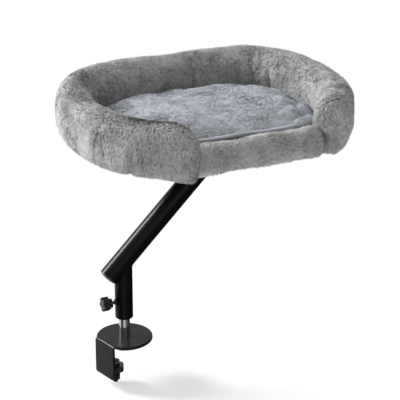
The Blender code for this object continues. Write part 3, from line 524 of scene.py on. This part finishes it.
def stuffed_out(item, centre, radii):
    """Adds an ellipsoid of stuffing to a mesh, for the remesh to join to it."""
    bpy.ops.object.select_all(action="DESELECT")
    bpy.ops.mesh.primitive_uv_sphere_add(segments=32, ring_count=16, radius=1.0, location=centre)
    wad = bpy.context.object
    wad.scale = radii
    bpy.ops.object.transform_apply(location=True, rotation=True, scale=True)
    item.select_set(True)
    bpy.context.view_layer.objects.active = item
    bpy.ops.object.join()
    return item


def plump(node, name, voxel, pressure, cap, shrink, lumps, relief, wads=()):
    """Stuffed fabric: the solid's shape, remeshed, blown up as cloth, eased, and a little uneven."""
    item = copy_of_node(node, name)
    for centre, radii in wads:
        stuffed_out(item, centre, radii)
    item.data.remesh_voxel_size = voxel
    only(item)
    bpy.ops.object.voxel_remesh()
    mesh = item.data
    count = len(mesh.vertices)
    start = np.empty(count * 3)
    mesh.vertices.foreach_get("co", start)
    normals = np.empty(count * 3)
    mesh.vertices.foreach_get("normal", normals)
    start = start.reshape(-1, 3) - normals.reshape(-1, 3) * shrink
    mesh.vertices.foreach_set("co", start.ravel())
    mesh.update()
    cloth = item.modifiers.new("stuffing", "CLOTH")
    cloth.settings.use_pressure = True
    cloth.settings.uniform_pressure_force = pressure
    cloth.settings.effector_weights.gravity = 0
    cloth.settings.tension_stiffness = 20
    cloth.settings.compression_stiffness = 20
    cloth.point_cache.frame_start = 1
    cloth.point_cache.frame_end = 20
    for step in range(1, 21):
        bpy.context.scene.frame_set(step)
    graph = bpy.context.evaluated_depsgraph_get()
    blown_mesh = item.evaluated_get(graph).to_mesh()
    blown = np.empty(count * 3)
    blown_mesh.vertices.foreach_get("co", blown)
    blown = blown.reshape(-1, 3)
    item.evaluated_get(graph).to_mesh_clear()
    item.modifiers.remove(cloth)
    bpy.context.scene.frame_set(1)
    move = blown - start
    far = np.linalg.norm(move, axis=1, keepdims=True)
    move *= np.minimum(1.0, cap / np.maximum(far, 1e-9))
    start = start + move
    mesh.vertices.foreach_set("co", start.ravel())
    mesh.update()
    smooth = item.modifiers.new("ease", "SMOOTH")
    smooth.factor = 0.5
    smooth.iterations = 4
    finer = item.modifiers.new("finer", "SUBSURF")
    finer.levels = 1
    finer.render_levels = 1
    apply_all(item)
    mesh = item.data
    count = len(mesh.vertices)
    mesh.vertices.foreach_get("co", start := np.empty(count * 3))
    mesh.vertices.foreach_get("normal", normals := np.empty(count * 3))
    start, normals = start.reshape(-1, 3), normals.reshape(-1, 3)
    uneven = np.array([noise.noise(Vector(p) * 16.0) + 0.5 * noise.noise(Vector(p) * 40.0) for p in start])
    start = start + normals * (uneven * lumps + relief(start))[:, None]
    mesh.vertices.foreach_set("co", start.ravel())
    mesh.update()
    only(item)
    bpy.ops.object.shade_smooth()
    return item


def surface_samples(mesh, count, keep):
    """Points spread evenly by area over the faces whose centre and normal pass keep(centre, normal)."""
    mesh.calc_loop_triangles()
    total = len(mesh.loop_triangles)
    corners = np.empty(total * 3, int)
    mesh.loop_triangles.foreach_get("vertices", corners)
    corners = corners.reshape(-1, 3)
    places = np.empty(len(mesh.vertices) * 3)
    mesh.vertices.foreach_get("co", places)
    places = places.reshape(-1, 3)
    normals = np.empty(len(mesh.vertices) * 3)
    mesh.vertices.foreach_get("normal", normals)
    normals = normals.reshape(-1, 3)
    a, b, c = (places[corners[:, i]] for i in range(3))
    across = np.cross(b - a, c - a)
    area = np.linalg.norm(across, axis=1) / 2
    facing = across / np.maximum(2 * area[:, None], 1e-12)
    area = area * keep((a + b + c) / 3, facing)
    chosen = RNG.choice(total, size=count, p=area / area.sum())
    u, v = RNG.random(count), RNG.random(count)
    over = u + v > 1
    u[over], v[over] = 1 - u[over], 1 - v[over]
    w = 1 - u - v
    at = a[chosen] * w[:, None] + b[chosen] * u[:, None] + c[chosen] * v[:, None]
    n = (
        normals[corners[chosen, 0]] * w[:, None]
        + normals[corners[chosen, 1]] * u[:, None]
        + normals[corners[chosen, 2]] * v[:, None]
    )
    return at, n / np.maximum(np.linalg.norm(n, axis=1, keepdims=True), 1e-9)


def unit(v):
    return v / np.maximum(np.linalg.norm(v, axis=1, keepdims=True), 1e-9)


def along_surface(v, normal):
    return unit(v - normal * np.sum(v * normal, axis=1, keepdims=True))


LOCKS_PER_TUFT = 12


def pile(
    base, name, finish, count, pieces, length, width, keep, comb, lean, body,
    creased_with_painted_shade=False, level=0.5, contrast=0.5,
):
    """Plush pile: narrow bent locks of fibre that lie with the nap and gather into small tufts."""
    at, normal = surface_samples(base.data, count // FEWER, keep)
    locks = len(at)
    tufts = count // LOCKS_PER_TUFT
    centres = RNG.choice(locks, size=tufts, replace=False)
    tree = kdtree.KDTree(tufts)
    for i, k in enumerate(centres):
        tree.insert(at[k], i)
    tree.balance()
    tuft = np.array([tree.find(p)[1] for p in at])
    heart, heart_normal = at[centres], normal[centres]
    swirl = np.array([noise.noise_vector(Vector(p) * 13.0) for p in heart])
    mottle = np.array([noise.noise(Vector(p) * 24.0) + 0.6 * noise.noise(Vector(p) * 62.0) for p in heart])
    nap = comb(heart) + swirl * 0.9 + RNG.normal(0, 0.25, (tufts, 3))
    tuft_tone = level + contrast * mottle + RNG.normal(0, 0.15, tufts)
    if creased_with_painted_shade:
        depth, aside = crease_marks(heart)
        outward = heart - BED_MIDDLE
        along_wall = unit(np.stack([-outward[:, 1], outward[:, 0], 0 * outward[:, 0]], axis=1))
        part = np.sign(aside) * np.exp(-((aside / 0.010) ** 2)) * depth / 0.003
        nap = nap + along_wall * part[:, None] * 0.5
        # Painted shade: the locks along a crease are darkened, for the shade that falls in it.
        tuft_tone = tuft_tone - 0.20 * np.exp(-((aside / 0.005) ** 2)) * depth / 0.003
    own_nap = along_surface(nap[tuft] + RNG.normal(0, 0.30, (locks, 3)), normal)
    tilt = np.clip(lean + RNG.normal(0, 0.15, locks), 0.1, 1.4)[:, None]
    reach = length * RNG.uniform(0.75, 1.15, locks)[:, None]
    middle = at + (normal * np.cos(tilt * 0.62) + own_nap * np.sin(tilt * 0.62)) * reach * 0.5
    tip = middle + (normal * np.cos(tilt * 1.22) + own_nap * np.sin(tilt * 1.22)) * reach * 0.55
    gathered = heart + along_surface(nap, heart_normal) * length * 0.75 + heart_normal * length * 0.5
    pull = gathered[tuft] - tip
    pull *= np.minimum(1.0, 0.006 / np.maximum(np.linalg.norm(pull, axis=1, keepdims=True), 1e-9))
    tip = tip + pull * 0.24
    middle = middle + pull * 0.08
    root = at - normal * length * 0.05
    side = unit(np.cross(normal + RNG.normal(0, 0.30, (locks, 3)), tip - root))
    half = side * (width * RNG.uniform(0.7, 1.2, locks)[:, None] / 2)
    points = np.stack([root, middle + half, tip, middle - half], axis=1)
    facing = unit(np.cross(points[:, 1] - points[:, 0], points[:, 2] - points[:, 0]))
    backward = np.sum(facing * normal, axis=1) < 0
    points[backward] = points[backward][:, [0, 3, 2, 1]]
    facing[backward] *= -1
    shading = unit(normal * 0.8 + facing * 0.45)
    tone = np.clip(tuft_tone[tuft] + RNG.normal(0, 0.20, locks), 0.0, 0.999)
    column = np.floor(tone * 24) / 24
    round_bed = np.arctan2(at[:, 1] - BED_MIDDLE[1], at[:, 0] - BED_MIDDLE[0])
    order = np.argsort(round_bed, kind="stable")
    for number, chosen in enumerate(np.array_split(order, pieces)):
        shared = len(chosen)
        mesh = bpy.data.meshes.new(name)
        mesh.vertices.add(shared * 4)
        mesh.vertices.foreach_set("co", points[chosen].ravel())
        first = np.arange(shared)[:, None] * 4
        faces = np.hstack([first + [0, 1, 3], first + [1, 2, 3]]).reshape(-1, 3)
        mesh.loops.add(len(faces) * 3)
        mesh.loops.foreach_set("vertex_index", faces.ravel())
        mesh.polygons.add(len(faces))
        mesh.polygons.foreach_set("loop_start", np.arange(len(faces)) * 3)
        # The map's X is the lock's tone, in steps, and its Y runs from root to tip.
        corner_u = np.array([0.5, 0.8, 0.5, 0.2]) / 24
        u = column[chosen][:, None] + corner_u[None, :]
        v = np.broadcast_to(np.array([0.02, 0.5, 0.98, 0.5]), (shared, 4))
        layer = mesh.uv_layers.new(name=PILE_MAP)
        flat = faces.ravel()
        layer.uv.foreach_set("vector", np.stack([u.ravel()[flat], v.ravel()[flat]], axis=1).ravel())
        mesh.update()
        mesh.shade_smooth()
        mesh.normals_split_custom_set_from_vertices(np.repeat(shading[chosen], 4, axis=0))
        piece_name = f"{name}_{number + 1}" if pieces > 1 else name
        item = bpy.data.objects.new(piece_name, mesh)
        bpy.context.scene.collection.objects.link(item)
        dress(item, piece_name, finish, body)


FEWER = 1


def places_of(item):
    places = np.empty(len(item.data.vertices) * 3)
    item.data.vertices.foreach_get("co", places)
    return places.reshape(-1, 3)


def move_to(item, places):
    item.data.vertices.foreach_set("co", places.ravel())
    item.data.update()


# The wall's right end is stuffed full at its foot, where the lip meets it: centres and radii of the wads.
END_WADS = (
    ((0.348, -0.168, 0.428), (0.026, 0.027, 0.034)),
    ((0.338, -0.161, 0.413), (0.024, 0.026, 0.020)),
)

bolster = plump("bolster", "bolster_cover", 0.006, 4.0, 0.006, 0.002, 0.0022, wall_relief, END_WADS)
dress(bolster, "bolster_cover", WALL_GROUND, "mast")
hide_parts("bolster")


def tucked_end(item, start, stop, wanted):
    """Draws in the lip's right end, tucks its left end under the wall, and rolls its back inward."""
    places = places_of(item)
    low, high = places.min(axis=0), places.max(axis=0)
    back = np.clip((places[:, 1] - (low[1] + high[1]) / 2) / ((high[1] - low[1]) / 2), 0, 1)
    share = (places[:, 2] - low[2]) / (high[2] - low[2])
    places[:, 1] += (0.018 - 0.008 * share) * back * np.clip(share / 0.2, 0, 1)
    places[:, 0] -= 0.020 * np.clip((low[0] + 0.04 - places[:, 0]) / 0.04, 0, 1)
    past = np.maximum(places[:, 0] - start, 0)
    places[:, 0] -= past * (1 - (wanted - start) / (stop - start))
    move_to(item, places)


lip = plump("front_lip", "front_lip_cover", 0.005, 4.0, 0.005, 0.002, 0.0030, plain_relief)
tucked_end(lip, 0.29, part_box("front_lip")[1][0], 0.324)
dress(lip, "front_lip_cover", WALL_GROUND, "mast")
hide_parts("front_lip")


def undercut(item):
    """Draws in the cushion's front side under its hem, where it stands off the lip in a dark gap."""
    places = places_of(item)
    low = np.clip((HEM_HEIGHT - places[:, 2]) / 0.005, 0, 1)
    front = np.clip((-0.115 - places[:, 1]) / 0.02, 0, 1)
    fade = np.clip((0.30 - places[:, 0]) / 0.10, 0, 1)
    places[:, 1] += 0.017 * low * front * fade
    places[:, 2] += hem_rise(places[:, 0], places[:, 1]) * (1 - low)
    move_to(item, places)


def hem_rise(x, y):
    """How far the cushion's front edge stands up where it rides on the lip, by place."""
    return 0.010 * np.exp(-(((y + 0.150) / 0.020) ** 2)) * np.clip((0.36 - x) / 0.16, 0.25, 1)


def edge_line(item, height, band, inset, count=144):
    """The cushion's outline at a height, evened out, and sunk in where its hem doesn't show."""
    places = places_of(item)
    low, high = places.min(axis=0), places.max(axis=0)
    middle = (low + high) / 2
    near = places[np.abs(places[:, 2] - height) < band]
    around = near[:, :2] - middle[:2]
    turn = np.arctan2(around[:, 1], around[:, 0])
    far = np.linalg.norm(around, axis=1)
    turns = np.arange(count) * 2 * math.pi / count
    reach = np.array([far[np.abs((turn - t + math.pi) % (2 * math.pi) - math.pi) < 0.04].max() for t in turns])
    reach = sum(np.roll(reach, shift) for shift in range(-2, 3)) / 5 - inset
    x, y = middle[0] + reach * np.cos(turns), middle[1] + reach * np.sin(turns)
    sunk = 0.008 * np.maximum(np.clip((y + 0.115) / 0.03, 0, 1), np.clip((x - 0.27) / 0.06, 0, 1))
    return x - sunk * np.cos(turns), y - sunk * np.sin(turns)


HEM_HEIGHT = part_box("cushion")[0][2] + 0.0255
cushion = plump("cushion", "cushion_cover", 0.005, 4.0, 0.007, 0.003, 0.0028, cushion_relief)
hem_x, hem_y = edge_line(cushion, HEM_HEIGHT, 0.004, 0.0035)
hem_z = HEM_HEIGHT + 0.0015 + hem_rise(hem_x, hem_y)
undercut(cushion)
dress(cushion, "cushion_cover", CUSHION_GROUND, "loose_cushion")
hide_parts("cushion")


def above_base(centre, facing):
    return ((centre[:, 2] > BED_LOW + 0.004) | (facing[:, 2] > -0.6)).astype(float)


def cushion_top(centre, facing):
    side = (centre[:, 2] < HEM_HEIGHT + 0.006) & (centre[:, 1] < -0.12) | (centre[:, 1] < hem_y.min() + 0.007)
    return ((facing[:, 2] > -0.2) & ~(side & (centre[:, 0] < 0.27))).astype(float)


def down_the_wall(points):
    """The wall's nap: outward over the crest, and down both sides."""
    outward = (points - BED_MIDDLE) * (1.0, 1.0, 0.0)
    return unit(outward) * 0.55 + (0.15, 0.0, -0.9)


def along_the_lip(points):
    return np.broadcast_to((0.7, 0.0, -0.5), points.shape)


def across_the_cushion(points):
    return np.broadcast_to((0.8, -0.35, 0.0), points.shape)


pile(
    bolster, "bolster_pile", WALL_PILE, 400000, 5, 0.0085, 0.0011,
    above_base, down_the_wall, 1.0, "mast", True, 0.55, 0.45,
)
# Painted light: the lip's locks are set lighter than the wall's (level 0.62 against 0.55), for the top and fill light
# that its roll catches.
pile(
    lip, "front_lip_pile", WALL_PILE, 60000, 1, 0.0115, 0.0015,
    above_base, along_the_lip, 0.85, "mast", False, 0.62, 0.6,
)
pile(
    cushion, "cushion_pile", CUSHION_PILE, 150000, 2, 0.0080, 0.0011,
    cushion_top, across_the_cushion, 1.1, "loose_cushion", False, 0.55, 0.5,
)


# ---------------------------------------------------------------- welds, threads and piping


dress(
    round_rod("cushion_hem", list(zip(hem_x, hem_y, hem_z)), 0.0041, True),
    "cushion_hem", CUSHION_GROUND, "loose_cushion",
)

ARM_CROSSING, ARM_RADIUS, SLEEVE_RADIUS = 0.168, 0.020, 0.0175


def cope_line(count=64):
    """Where the sleeve's outside meets the arm's underside."""
    points = []
    for step in range(count):
        angle = 2 * math.pi * step / count
        x, y = SLEEVE_RADIUS * math.cos(angle), SLEEVE_RADIUS * math.sin(angle)
        rise = x - math.sqrt(2) * math.sqrt(ARM_RADIUS**2 - y**2)
        points.append((x, y, ARM_CROSSING + rise))
    return points


def head_line(count=64):
    """Where the arm's outside meets the head plate."""
    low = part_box("head_plate")[0][2]
    middle = low - ARM_CROSSING
    return [
        (
            middle + math.sqrt(2) * ARM_RADIUS * math.cos(2 * math.pi * step / count),
            ARM_RADIUS * math.sin(2 * math.pi * step / count),
            low - 0.0006,
        )
        for step in range(count)
    ]


dress(round_rod("sleeve_weld", cope_line(), 0.0011, True), "sleeve_weld", TUBE, "mast")
dress(round_rod("head_weld", head_line(), 0.0016, True), "head_weld", TUBE, "mast")


def cap_dome():
    """The arm's end cap stands out of the tube's end as a low dome."""
    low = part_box("arm_end_cap")[0]
    reach = ARM_RADIUS / math.sqrt(2)
    bpy.ops.mesh.primitive_uv_sphere_add(segments=64, ring_count=32, radius=1.0)
    item = bpy.context.object
    item.scale = (ARM_RADIUS - 0.0012, ARM_RADIUS - 0.0012, 0.0046)
    item.rotation_euler = (0.0, math.radians(45.0), 0.0)
    item.location = (low[0] + reach, 0.0, low[2] + reach)
    bpy.ops.object.transform_apply(location=True, rotation=True, scale=True)
    bpy.ops.object.shade_smooth()
    return dress(item, "end_cap_dome", CAP, "mast")


cap_dome()


def thread(name, centre, radius, low, high, pitch, finish, body, sideways=False):
    """The rolled thread's crest as a fine helix on a stud, along Z or along -X."""
    turns = (high - low) / pitch
    count = max(int(turns * 20), 8)
    points = []
    for step in range(count + 1):
        share = step / count
        angle = 2 * math.pi * turns * share
        along = low + (high - low) * share
        across = (radius * math.cos(angle), radius * math.sin(angle))
        if sideways:
            points.append((-along, across[0] + centre[1], across[1] + centre[2]))
        else:
            points.append((centre[0] + across[0], centre[1] + across[1], along))
    item = round_rod(name, points, pitch * 0.26, False, 1)
    return dress(item, name, finish, body)


stud_low, stud_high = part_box("clamp_stud")
nut_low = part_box("jaw_nut")[0][2]
stud_middle = ((stud_low[0] + stud_high[0]) / 2, (stud_low[1] + stud_high[1]) / 2)
thread(
    "clamp_stud_thread", stud_middle, 0.0048, stud_low[2] + 0.0006, nut_low - 0.0004, 0.0015,
    BLACK_OXIDE, "jaw_screw",
)
lock_low, lock_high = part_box("lock_stud")
thread(
    "lock_stud_thread", (0, 0, 0.082), 0.0029, 0.0192, 0.0232, 0.001,
    BLACK_OXIDE, "lock_screw", True,
)

# ---------------------------------------------------------------- camera, floor and light

camera = bpy.data.cameras.new("camera")
camera.lens = 144.0
camera.sensor_width = 36.0
camera.clip_end = 50.0
camera_item = bpy.data.objects.new("camera", camera)
camera_item.location = (-1.0558, -2.6148, 1.4311)
camera_item.rotation_euler = (math.radians(68.0), 0.0, math.radians(-25.0))
bpy.context.scene.collection.objects.link(camera_item)
bpy.context.scene.camera = camera_item


def shown_directly(made):
    """The light path, and 1 for rays that metal or gloss reflects or glass lets through."""
    path = add_node(made, "ShaderNodeLightPath")
    mirrored = add_node(
        made,
        "ShaderNodeMath",
        {"operation": "MAXIMUM"},
        None,
        {0: (path, "Is Glossy Ray"), 1: (path, "Is Transmission Ray")},
    )
    return path, mirrored


def studio_bands(made, place):
    """What mirrors see of the studio, by compass bearing round the post: soft boxes and dark flags."""
    bearing = add_node(made, "ShaderNodeTexGradient", {"gradient_type": "RADIAL"}, None, {"Vector": place})
    bands = add_node(made, "ShaderNodeValToRGB", None, None, {"Fac": (bearing, "Fac")})
    ramp_stops(bands, BAND_STOPS)
    return bands


# A bearing of 0 is -X, 0.25 is -Y, 0.5 is +X and 0.75 is +Y.
BAND_STOPS = (
    (0.00, "#2c2d2f"), (0.11, "#1c1d20"), (0.145, "#e6e9ec"), (0.235, "#d4d6d8"), (0.28, "#77797b"),
    (0.45, "#3a3a3a"), (0.68, "#242424"), (0.74, "#ffffff"), (0.97, "#ffffff"),
)


def pale_floor():
    """A white studio sweep: part of its white is its own, and the rest is lit, so the shadow stays."""
    made, shader = new_material("white_studio_floor", "#fafafa", 0.9)
    shader.inputs["Specular IOR Level"].default_value = 0.0
    path, mirrored = shown_directly(made)
    place = add_node(made, "ShaderNodeTexCoord")
    bands = studio_bands(made, (place, "Object"))
    shown = add_node(
        made,
        "ShaderNodeMix",
        {"data_type": "RGBA"},
        None,
        {"Factor": (mirrored, "Value")},
    )
    shown.inputs[6].default_value = (1.0, 1.0, 1.0, 1.0)
    made.node_tree.links.new(bands.outputs["Color"], shown.inputs[7])
    strength = add_node(
        made, "ShaderNodeMapRange", None, {"To Min": 1.0, "To Max": MIRRORED_FLOOR}, {"Value": (mirrored, "Value")}
    )
    white = add_node(made, "ShaderNodeEmission", None, None, {"Strength": (strength, "Result")})
    made.node_tree.links.new(shown.outputs[2], white.inputs["Color"])
    away = add_node(
        made, "ShaderNodeVectorMath", {"operation": "DISTANCE"}, {1: SHADOW_MIDDLE}, {0: (place, "Object")}
    )
    own_white = add_node(
        made,
        "ShaderNodeMapRange",
        {"interpolation_type": "SMOOTHSTEP"},
        {"From Min": SHADOW_NEAR, "From Max": SHADOW_FAR, "To Min": FLOOR_OWN_WHITE, "To Max": 1.0},
        {"Value": (away, "Value")},
    )
    camera_share = add_node(
        made, "ShaderNodeMath", {"operation": "MULTIPLY"}, None, {0: (own_white, "Result"), 1: (path, "Is Camera Ray")}
    )
    share = add_node(
        made, "ShaderNodeMath", {"operation": "MAXIMUM"}, None, {0: (camera_share, "Value"), 1: (mirrored, "Value")}
    )
    both = add_node(made, "ShaderNodeMixShader", None, None, {0: (share, "Value"), 1: (shader, "BSDF"), 2: (white, "Emission")})
    output = made.node_tree.nodes["Material Output"]
    made.node_tree.links.new(both.outputs["Shader"], output.inputs["Surface"])
    return made


# The floor's own white grows from this share by the clamp to all of it past the soft shadow's reach, so round
# SHADOW_MIDDLE the floor is greyer even where no shadow falls: a painted shadow, on top of the cast one.
FLOOR_OWN_WHITE = 0.50
MIRRORED_FLOOR = 0.8
SHADOW_MIDDLE = (0.10, 0.00, 0.0)
SHADOW_NEAR, SHADOW_FAR = 0.08, 0.40
bpy.ops.mesh.primitive_plane_add(size=24.0, location=(0, 0, -0.0895))
floor = bpy.context.object
floor.name = "studio_floor"
floor.data.materials.append(pale_floor())

# The room is white behind the object and overhead, and dim on the side that the camera stands on.
BRIGHT_SIDE = Vector((-0.45, 0.75, 0.48)).normalized()
DIM, BRIGHT = 0.20, 0.85
world = bpy.data.worlds.new("studio")
bpy.context.scene.world = world
world.use_nodes = True
place = add_node(world, "ShaderNodeTexCoord")
toward = add_node(
    world,
    "ShaderNodeVectorMath",
    {"operation": "DOT_PRODUCT"},
    {1: BRIGHT_SIDE},
    {0: (place, "Generated")},
)
side = add_node(
    world,
    "ShaderNodeMapRange",
    {"interpolation_type": "SMOOTHSTEP"},
    {"From Min": -0.55, "From Max": 0.65, "To Min": 0.0, "To Max": 1.0},
    {"Value": (toward, "Value")},
)
level = add_node(
    world, "ShaderNodeMapRange", None, {"To Min": DIM, "To Max": BRIGHT}, {"Value": (side, "Result")}
)
path, mirrored = shown_directly(world)
bands = studio_bands(world, (place, "Generated"))
reflected = add_node(
    world, "ShaderNodeMath", {"operation": "MULTIPLY"}, None, {0: (mirrored, "Value"), 1: (bands, "Color")}
)
seen = add_node(
    world, "ShaderNodeMath", {"operation": "MAXIMUM"}, None, {0: (path, "Is Camera Ray"), 1: (reflected, "Value")}
)
strength = add_node(
    world,
    "ShaderNodeMapRange",
    None,
    {"To Max": 1.0},
    {"Value": (seen, "Value"), "To Min": (level, "Result")},
)
backdrop = world.node_tree.nodes["Background"]
backdrop.inputs["Color"].default_value = (1.0, 1.0, 1.0, 1.0)
world.node_tree.links.new(strength.outputs["Result"], backdrop.inputs["Strength"])


def soft_box(name, place, target, size, power, colour):
    light = bpy.data.lights.new(name, "AREA")
    light.shape = "RECTANGLE"
    light.size, light.size_y = size
    light.energy = power
    light.color = colour
    item = bpy.data.objects.new(name, light)
    item.location = place
    item.rotation_euler = (Vector(target) - Vector(place)).to_track_quat("-Z", "Y").to_euler()
    bpy.context.scene.collection.objects.link(item)


soft_box("key_light", (-2.05, 1.85, 2.05), (0.10, 0, 0.30), (0.9, 0.9), 132, (0.94, 0.97, 1.0))
soft_box("front_fill", (0.5, -3.4, 1.2), (0.15, 0, 0.25), (2.2, 1.8), 11.5, (1.0, 0.95, 0.90))
soft_box("top_light", (0.3, 0.3, 3.0), (0.15, 0, 0.3), (1.6, 1.6), 30, (1.0, 1.0, 1.0))

bpy.context.scene.view_settings.view_transform = "Standard"
